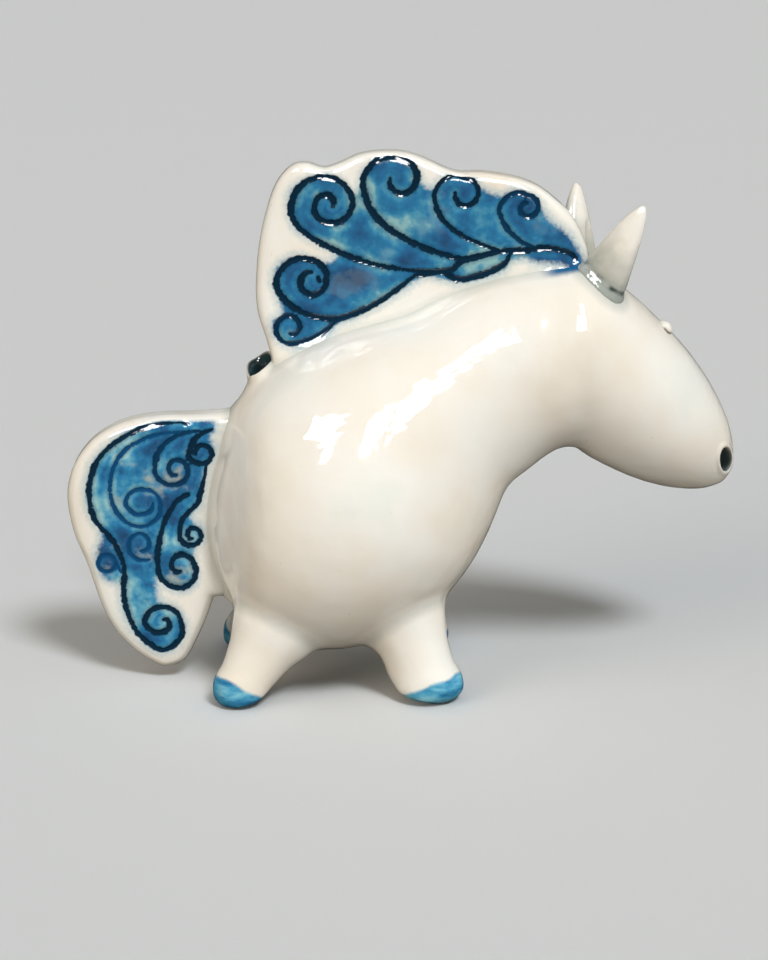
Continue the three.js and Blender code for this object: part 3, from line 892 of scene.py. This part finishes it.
def addNode(tree, kind, inputs=None, **settings):  # an input is a value, or an output to link
    node = tree.nodes.new("ShaderNode" + kind)
    for key, value in settings.items():
        setattr(node, key, value)
    for socket, source in (inputs or {}).items():
        if isinstance(source, bpy.types.NodeSocket):
            tree.links.new(source, node.inputs[socket])
        else:
            node.inputs[socket].default_value = source
    return node


def startMaterial(label):
    material = bpy.data.materials.new(label)
    material.use_nodes = True
    return material, material.node_tree, material.node_tree.nodes["Principled BSDF"]


def setStops(ramp, stops):  # stops are (place, hex colour)
    first, last = ramp.color_ramp.elements
    first.position, first.color = stops[0][0], linear(stops[0][1])
    last.position, last.color = stops[-1][0], linear(stops[-1][1])
    for place, colour in stops[1:-1]:
        ramp.color_ramp.elements.new(place).color = linear(colour)


def perMetre(size):  # scale of a texture whose features measure that many mm
    return 1 / (size * mm)


glazeLook = {
    "clouds": [(0.34, "ede6d8"), (0.47, "f1ede3"), (0.6, "f2f1ea"), (0.7, "eceee7")],
    "cloudSize": 27,  # mm
    "pool_and_shade": "a3aea9",  # glaze pooled thick in a joint, also used for the painted shade in the creases round the legs
    "hollow": "2c4349",  # painted shade deep inside a hole
    "run": "166294",  # blue that ran off the mane
    "speck": "a0937c",
    "speckSize": 1.2,  # mm
    "roughness": (0.03, 0.06),
    "ior": 1.52,
    "wave": 7.5,  # mm, length of the ripples in the glaze
    "waveHeight": 0.24,
    "brush": 1.8,  # mm, width of the strokes that laid the glaze
    "brushLength": 4.5,
    "brushSlope": 0.46,  # radians, up towards the head
    "brushHeight": 0.035,
}


def whiteGlazeColour(tree, where):  # cream clouds and faint specks, as an opaque white glaze has over clay; pooled glaze and blue run at the joints, painted shade in the leg creases and painted shade inside the holes
    look = glazeLook
    cloud = addNode(tree, "TexNoise", {
        "Vector": where, "Scale": perMetre(look["cloudSize"]), "Detail": 3.0,
    })
    ground = addNode(tree, "ValToRGB", {"Fac": cloud.outputs["Fac"]})
    setStops(ground, look["clouds"])
    fleck = addNode(tree, "TexNoise", {
        "Vector": where, "Scale": perMetre(look["speckSize"]), "Detail": 1.0,
    })
    dots = addNode(tree, "MapRange", {
        "Value": fleck.outputs["Fac"], "From Min": 0.79, "From Max": 0.84, "To Max": 0.3,
    })
    specked = addNode(tree, "Mix", {
        0: dots.outputs[0], 6: ground.outputs["Color"], 7: linear(look["speck"]),
    }, data_type="RGBA")
    # pooled glaze at the joints, and painted shade in the creases round the legs
    pool_and_shade = addNode(tree, "Attribute", attribute_name="pool_and_shade")
    pooled_and_shaded = addNode(tree, "MapRange", {
        "Value": pool_and_shade.outputs["Fac"], "From Min": 0.2, "From Max": 1.0, "To Max": 0.5,
    })
    deep = addNode(tree, "Mix", {
        0: pooled_and_shaded.outputs[0], 6: specked.outputs[2], 7: linear(look["pool_and_shade"]),
    }, data_type="RGBA")
    run = addNode(tree, "Attribute", attribute_name="run")
    patchy = addNode(tree, "MapRange", {
        "Value": cloud.outputs["Fac"], "From Min": 0.2, "From Max": 0.5, "To Min": 0.6, "To Max": 1.0,
    })
    ran = addNode(tree, "Math", {0: run.outputs["Fac"], 1: patchy.outputs[0]}, operation="MULTIPLY")
    blue = addNode(tree, "Mix", {
        0: ran.outputs[0], 6: deep.outputs[2], 7: linear(look["run"]),
    }, data_type="RGBA")
    # painted shade inside the holes
    hollow = addNode(tree, "Attribute", attribute_name="hollow")
    return addNode(tree, "Mix", {
        0: hollow.outputs["Fac"], 6: blue.outputs[2], 7: linear(look["hollow"]),
    }, data_type="RGBA").outputs[2]


def finishGlaze(tree, shader, where, colour):  # glossy fired coat, slow ripples, faint brush strokes
    look = glazeLook
    tree.links.new(colour, shader.inputs["Base Color"])
    shader.inputs["IOR"].default_value = look["ior"]
    wave = addNode(tree, "TexNoise", {"Vector": where, "Scale": perMetre(look["wave"]), "Detail": 2.0})
    dull = addNode(tree, "MapRange", {
        "Value": wave.outputs["Fac"], "From Min": 0.3, "From Max": 0.7,
        "To Min": look["roughness"][0], "To Max": look["roughness"][1],
    })
    tree.links.new(dull.outputs[0], shader.inputs["Roughness"])
    stretched = addNode(tree, "Mapping", {
        "Vector": where, "Rotation": (0, -look["brushSlope"], 0), "Scale": (look["brushLength"], 1, 1),
    }, vector_type="TEXTURE")
    stroke = addNode(tree, "TexNoise", {"Vector": stretched.outputs[0], "Scale": perMetre(look["brush"])})
    ripple = addNode(tree, "Bump", {"Height": wave.outputs["Fac"], "Distance": look["waveHeight"] * mm})
    brushed = addNode(tree, "Bump", {
        "Height": stroke.outputs["Fac"], "Distance": look["brushHeight"] * mm, "Normal": ripple.outputs[0],
    })
    tree.links.new(brushed.outputs[0], shader.inputs["Normal"])


def makeWhiteGlaze():  # opaque white glaze on earthenware, fired glossy: warm, wet-looking, softly uneven
    material, tree, shader = startMaterial("white_glazed_earthenware")
    where = addNode(tree, "TexCoord").outputs["Object"]
    colour = whiteGlazeColour(tree, where)
    finishGlaze(tree, shader, where, colour)
    return material


inkLook = {
    "faint": "0f4f80",  # a line with little ink in it
    "stain": "0e4168",  # ink that bled out beside the line
    "halo": "8fb6c4",  # thinned blue round the wash
    "clay": "a9b3a8",  # what shows where the brush ran dry
    "edgeSize": 1.0,  # mm, ragged edges of the wash and the lines
    "washFray": 2.2,  # mm
    "lineFray": 0.8,  # half widths of the line
    "poolSize": 8.5,  # mm, pools of thicker wash
    "drySize": 13,  # mm, patches where the brush ran dry
}
maneTints = {
    "wash": [(0.31, "8ab8bc"), (0.38, "4793b0"), (0.46, "1a76a4"), (0.57, "085a8c"), (0.7, "053f6b")],
    "bare": 0.12,  # how far the clay shows through where the brush ran dry
    "line": "05263b",
}
tailTints = {
    "wash": [(0.32, "9ccbd2"), (0.4, "62abc6"), (0.48, "2485b5"), (0.58, "0b5c90"), (0.7, "053f6b")],
    "bare": 0.8,
    "line": "06283e",
}


def makeScrollGlaze(label, tints):  # carved lines inked dark, with a watery blue wash brushed between them
    look = inkLook
    material, tree, shader = startMaterial(label)
    where = addNode(tree, "TexCoord").outputs["Object"]
    white = whiteGlazeColour(tree, where)
    edge = addNode(tree, "TexNoise", {
        "Vector": where, "Scale": perMetre(look["edgeSize"]), "Detail": 4.0, "Roughness": 0.6,
    })
    wash = addNode(tree, "Attribute", attribute_name="wash")
    line = addNode(tree, "Attribute", attribute_name="line")
    frayed = addNode(tree, "Math", {
        0: edge.outputs["Fac"], 1: look["washFray"], 2: wash.outputs["Fac"],
    }, operation="MULTIPLY_ADD")
    bled = addNode(tree, "MapRange", {
        "Value": frayed.outputs[0], "From Min": -1.2, "From Max": 1.0, "To Max": 0.45,
    }, interpolation_type="SMOOTHSTEP")
    halo = addNode(tree, "Mix", {0: bled.outputs[0], 6: white, 7: linear(look["halo"])}, data_type="RGBA")
    washed = addNode(tree, "MapRange", {
        "Value": frayed.outputs[0], "From Min": 0.5, "From Max": 2.1, "To Max": 0.97,
    }, interpolation_type="SMOOTHSTEP")
    pools = addNode(tree, "TexNoise", {
        "Vector": where, "Scale": perMetre(look["poolSize"]), "Detail": 4.0, "Roughness": 0.54,
    })
    thin = addNode(tree, "MapRange", {
        "Value": line.outputs["Fac"], "From Min": 1.2, "From Max": 3.4, "To Min": -0.08, "To Max": 0.02,
    })
    depth = addNode(tree, "Math", {0: pools.outputs["Fac"], 1: thin.outputs[0]}, operation="ADD")
    tint = addNode(tree, "ValToRGB", {"Fac": depth.outputs[0]})
    setStops(tint, tints["wash"])
    patch = addNode(tree, "TexNoise", {
        "Vector": where, "Scale": perMetre(look["drySize"]), "Detail": 4.0, "Roughness": 0.6,
    })
    dry = addNode(tree, "MapRange", {
        "Value": patch.outputs["Fac"], "From Min": 0.57, "From Max": 0.66, "To Max": tints["bare"],
    }, interpolation_type="SMOOTHSTEP")
    thinned = addNode(tree, "Mix", {
        0: dry.outputs[0], 6: tint.outputs["Color"], 7: linear(look["clay"]),
    }, data_type="RGBA")
    blue = addNode(tree, "Mix", {
        0: washed.outputs[0], 6: halo.outputs[2], 7: thinned.outputs[2],
    }, data_type="RGBA")
    bleed = addNode(tree, "MapRange", {
        "Value": line.outputs["Fac"], "From Min": 2.1, "From Max": 1.0, "To Max": 0.55,
    })
    inky = addNode(tree, "Math", {0: bleed.outputs[0], 1: washed.outputs[0]}, operation="MULTIPLY")
    stained = addNode(tree, "Mix", {
        0: inky.outputs[0], 6: blue.outputs[2], 7: linear(look["stain"]),
    }, data_type="RGBA")
    ragged = addNode(tree, "Math", {
        0: edge.outputs["Fac"], 1: look["lineFray"], 2: line.outputs["Fac"],
    }, operation="MULTIPLY_ADD")
    inked = addNode(tree, "MapRange", {
        "Value": ragged.outputs[0], "From Min": 1.55, "From Max": 1.15,
    }, interpolation_type="SMOOTHSTEP")
    full = addNode(tree, "Attribute", attribute_name="ink")
    laid = addNode(tree, "Mix", {
        0: full.outputs["Fac"], 6: linear(look["faint"]), 7: linear(tints["line"]),
    }, data_type="RGBA")
    ink = addNode(tree, "Mix", {
        0: inked.outputs[0], 6: stained.outputs[2], 7: laid.outputs[2],
    }, data_type="RGBA")
    finishGlaze(tree, shader, where, ink.outputs[2])
    return material


hoofTints = {
    "wash": [(0.34, "256c9b"), (0.45, "398bb6"), (0.55, "57a8ca"), (0.68, "86c8db")],
    "edge": 4.1,  # mm up the leg
    "wave": 1.1,  # mm, how far the brush wandered
    "waveSize": 6,  # mm
    "fade": 0.5,  # mm
    "streakSize": 4.5,  # mm
    "streakStretch": (0.5, 0.5, 1.6),  # streaks run round the foot
}


def makeHoofGlaze():  # one coat of blue glaze brushed round the foot: streaky, darker where it ran
    look = hoofTints
    material, tree, shader = startMaterial("blue_brushed_glaze")
    where = addNode(tree, "TexCoord").outputs["Object"]
    white = whiteGlazeColour(tree, where)
    climb = addNode(tree, "Attribute", attribute_name="climb")
    wander = addNode(tree, "TexNoise", {
        "Vector": where, "Scale": perMetre(look["waveSize"]), "Detail": 3.0,
    })
    level = addNode(tree, "Math", {
        0: wander.outputs["Fac"], 1: look["wave"] * 2, 2: climb.outputs["Fac"],
    }, operation="MULTIPLY_ADD")
    painted = addNode(tree, "MapRange", {
        "Value": level.outputs[0], "From Min": look["edge"] + look["wave"] + look["fade"],
        "From Max": look["edge"] + look["wave"] - look["fade"],
    }, interpolation_type="SMOOTHSTEP")
    flat = addNode(tree, "Mapping", {"Vector": where, "Scale": look["streakStretch"]})
    streak = addNode(tree, "TexNoise", {
        "Vector": flat.outputs[0], "Scale": perMetre(look["streakSize"]),
        "Detail": 4.0, "Roughness": 0.6,
    })
    tint = addNode(tree, "ValToRGB", {"Fac": streak.outputs["Fac"]})
    setStops(tint, look["wash"])
    colour = addNode(tree, "Mix", {
        0: painted.outputs[0], 6: white, 7: tint.outputs["Color"],
    }, data_type="RGBA")
    finishGlaze(tree, shader, where, colour.outputs[2])
    return material


earTints = {
    "smoke": "9ca197",  # thin clear glaze over grey clay
    "reach": (3, 13),  # mm above the head, where it fades into white
    "cloudSize": 5,  # mm
    "ragged": 9.0,  # mm, how far that edge wanders
    "pool_and_shade": "9fa8a4",
    "crack": "2c3a3c",  # where the glaze ran together in the joint and in the crease
    "crackFoot": (1.0, 0.2),  # mm above the head
    "crackCrease": (0.6, 0.15),  # mm from the crease
    "crackSize": 3,  # mm, the pieces that it is broken into
}


def makeEarGlaze():  # clear glaze that ran off the ear: smoky below, white at the tip, dark in its joint
    look = earTints
    material, tree, shader = startMaterial("smoky_glazed_earthenware")
    where = addNode(tree, "TexCoord").outputs["Object"]
    white = whiteGlazeColour(tree, where)
    cloud = addNode(tree, "TexNoise", {
        "Vector": where, "Scale": perMetre(look["cloudSize"]), "Detail": 4.0,
    })
    height = addNode(tree, "Attribute", attribute_name="climb")
    ragged = addNode(tree, "Math", {
        0: cloud.outputs["Fac"], 1: look["ragged"], 2: height.outputs["Fac"],
    }, operation="MULTIPLY_ADD")
    low, high = [edge + look["ragged"] / 2 for edge in look["reach"]]
    smoky = addNode(tree, "MapRange", {
        "Value": ragged.outputs[0], "From Min": high, "From Max": low, "To Max": 0.85,
    })
    smoke = addNode(tree, "Mix", {
        0: smoky.outputs[0], 6: white, 7: linear(look["smoke"]),
    }, data_type="RGBA")
    pool_and_shade = addNode(tree, "Attribute", attribute_name="pool_and_shade")
    pooled_and_shaded = addNode(tree, "MapRange", {
        "Value": pool_and_shade.outputs["Fac"], "From Min": 0.15, "From Max": 0.7, "To Max": 0.8,
    })
    deep = addNode(tree, "Mix", {
        0: pooled_and_shaded.outputs[0], 6: smoke.outputs[2], 7: linear(look["pool_and_shade"]),
    }, data_type="RGBA")
    away = addNode(tree, "Math", {
        0: height.outputs["Fac"], 1: smallLook["earCollar"]["crease"],
    }, operation="SUBTRACT")
    gap = addNode(tree, "Math", {0: away.outputs[0]}, operation="ABSOLUTE")
    crease = addNode(tree, "MapRange", {
        "Value": gap.outputs[0], "From Min": look["crackCrease"][0], "From Max": look["crackCrease"][1],
    })
    foot = addNode(tree, "MapRange", {
        "Value": height.outputs["Fac"], "From Min": look["crackFoot"][0], "From Max": look["crackFoot"][1],
    })
    both = addNode(tree, "Math", {0: crease.outputs[0], 1: foot.outputs[0]}, operation="MAXIMUM")
    ran = addNode(tree, "TexNoise", {"Vector": where, "Scale": perMetre(look["crackSize"]), "Detail": 3.0})
    thick = addNode(tree, "MapRange", {
        "Value": ran.outputs["Fac"], "From Min": 0.4, "From Max": 0.62, "To Max": 0.9,
    })
    lines = addNode(tree, "Math", {0: both.outputs[0], 1: thick.outputs[0]}, operation="MULTIPLY")
    colour = addNode(tree, "Mix", {
        0: lines.outputs[0], 6: deep.outputs[2], 7: linear(look["crack"]),
    }, data_type="RGBA")
    finishGlaze(tree, shader, where, colour.outputs[2])
    return material


eyeTints = {
    # painted shade in the crease under the bead
    "eye_crease_shade": "6f6a5a",
}


def makeEyeGlaze():  # a pale bead under white glaze, with painted shade as a dark line in the crease under it
    material, tree, shader = startMaterial("white_glazed_bead")
    where = addNode(tree, "TexCoord").outputs["Object"]
    white = whiteGlazeColour(tree, where)
    eye_crease_shade = addNode(tree, "Attribute", attribute_name="eye_crease_shade")
    colour = addNode(tree, "Mix", {
        0: eye_crease_shade.outputs["Fac"], 6: white, 7: linear(eyeTints["eye_crease_shade"]),
    }, data_type="RGBA")
    finishGlaze(tree, shader, where, colour.outputs[2])
    return material


whiteGlaze = makeWhiteGlaze()
maneGlaze = makeScrollGlaze("blue_washed_glaze_mane", maneTints)
tailGlaze = makeScrollGlaze("blue_washed_glaze_tail", tailTints)
hoofGlaze = makeHoofGlaze()
earGlaze = makeEarGlaze()
eyeGlaze = makeEyeGlaze()


def dress(piece, material, slot, *nodes):
    piece.data.materials.clear()
    piece.data.materials.append(material)
    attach(piece, "root")
    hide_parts(*nodes)


dress(skin, whiteGlaze, "white_glaze", *skinLook["pots"], *skinLook["legs"])
dress(mane, maneGlaze, "blue_scroll_glaze", "mane")
dress(tail, tailGlaze, "blue_scroll_glaze", "tail")
for side in ("right", "left"):
    dress(ears[side], earGlaze, "white_glaze", "ear_" + side)
    dress(eyes[side], eyeGlaze, "eye_glaze", "eye_" + side)
for node, hoof in hooves.items():
    dress(hoof, hoofGlaze, "hoof_glaze", node)
print("pieces dressed")


# Floor and light: soft lamps from the front and the sides, and window panes that only show in the gloss

studioLook = {
    "floorSize": 12,  # metres
    "floor": "e6e8e8",
    "bounce": "78736b",  # what the floor throws back on the figure
    "floorGloss": "45433f",  # and how it stands in the gloss
    "floorRoughness": 0.9,
    "floorSpecular": 0.1,
    "sky": "fbf9f4",
    "skyStrength": 0.24,
    "skyGloss": 0.1,  # how bright it stands in the gloss
    "behind": "c7c8c7",  # seen past the far edge of the floor
    "lamps": [  # turn and rise in degrees, strength, softness in degrees, colour
        (-66, 6, 0.85, 30, "fffaf4"),
        (-63, 50, 1.75, 15, "f6faff"),
        (-141, 18, 1.25, 40, "fff0de"),
        (-14, 4, 1.2, 40, "fff9f0"),
        (105, 14, 0.75, 50, "f8f6f2"),
    ],
    "panes": [  # turn and rise in degrees, width and height in metres
        (-84, 40, 0.25, 0.53),
        (-69, 46, 0.27, 0.75),
        (-134, 49, 0.6, 0.42),
        (-116, 40, 0.2, 0.42),
    ],
    "flagged": 18,  # degrees, a lamp lower than this is kept off the floor
    "paneDistance": 1.6,  # metres
    "paneLevel": 90,  # watts per square metre
}


def towards(turn, rise):
    turn, rise = math.radians(turn), math.radians(rise)
    return Vector((math.cos(turn) * math.cos(rise), math.sin(turn) * math.cos(rise), math.sin(rise)))


def addStudio():
    look = studioLook
    bpy.ops.mesh.primitive_plane_add(size=look["floorSize"])
    floor = bpy.context.object
    floor.name = "floor"
    material, tree, shader = startMaterial("pale_paper")
    path = addNode(tree, "LightPath")
    back = addNode(tree, "Mix", {
        0: path.outputs["Is Diffuse Ray"], 6: linear(look["floorGloss"]), 7: linear(look["bounce"]),
    }, data_type="RGBA")
    colour = addNode(tree, "Mix", {
        0: path.outputs["Is Camera Ray"], 6: back.outputs[2], 7: linear(look["floor"]),
    }, data_type="RGBA")
    tree.links.new(colour.outputs[2], shader.inputs["Base Color"])
    shader.inputs["Roughness"].default_value = look["floorRoughness"]
    shader.inputs["Specular IOR Level"].default_value = look["floorSpecular"]
    floor.data.materials.append(material)
    flags = bpy.data.collections.new("flags")
    flags.objects.link(floor)
    flags.collection_objects[0].light_linking.link_state = "EXCLUDE"
    for turn, rise, strength, softness, colour in look["lamps"]:
        bpy.ops.object.light_add(type="SUN", location=towards(turn, rise))
        lamp = bpy.context.object
        lamp.rotation_euler = towards(turn, rise).to_track_quat("Z", "Y").to_euler()
        lamp.data.energy = strength
        lamp.data.color = linear(colour)[:3]
        lamp.data.angle = math.radians(softness)
        lamp.visible_glossy = False
        if rise < look["flagged"]:
            lamp.light_linking.receiver_collection = flags
    for turn, rise, width, height in look["panes"]:
        place = towards(turn, rise) * look["paneDistance"]
        bpy.ops.object.light_add(type="AREA", location=place)
        pane = bpy.context.object
        pane.rotation_euler = place.to_track_quat("Z", "Y").to_euler()
        pane.data.shape = "RECTANGLE"
        pane.data.size, pane.data.size_y = width, height
        pane.data.energy = look["paneLevel"] * width * height
        pane.visible_diffuse = False
    world = bpy.data.worlds.new("studio")
    world.use_nodes = True
    sky = world.node_tree.nodes["Background"]
    path = addNode(world.node_tree, "LightPath")
    tint = addNode(world.node_tree, "Mix", {
        0: path.outputs["Is Camera Ray"], 6: linear(look["sky"]), 7: linear(look["behind"]),
    }, data_type="RGBA")
    world.node_tree.links.new(tint.outputs[2], sky.inputs["Color"])
    level = addNode(world.node_tree, "Mix", {
        0: path.outputs["Is Glossy Ray"], 2: look["skyStrength"], 3: look["skyGloss"],
    })
    seen = addNode(world.node_tree, "Mix", {
        0: path.outputs["Is Camera Ray"], 2: level.outputs[0], 3: 1.0,
    })
    world.node_tree.links.new(seen.outputs[0], sky.inputs["Strength"])
    bpy.context.scene.world = world
    bpy.context.scene.view_settings.view_transform = "Standard"


addStudio()
print("floor and light set")

print("scene ready")
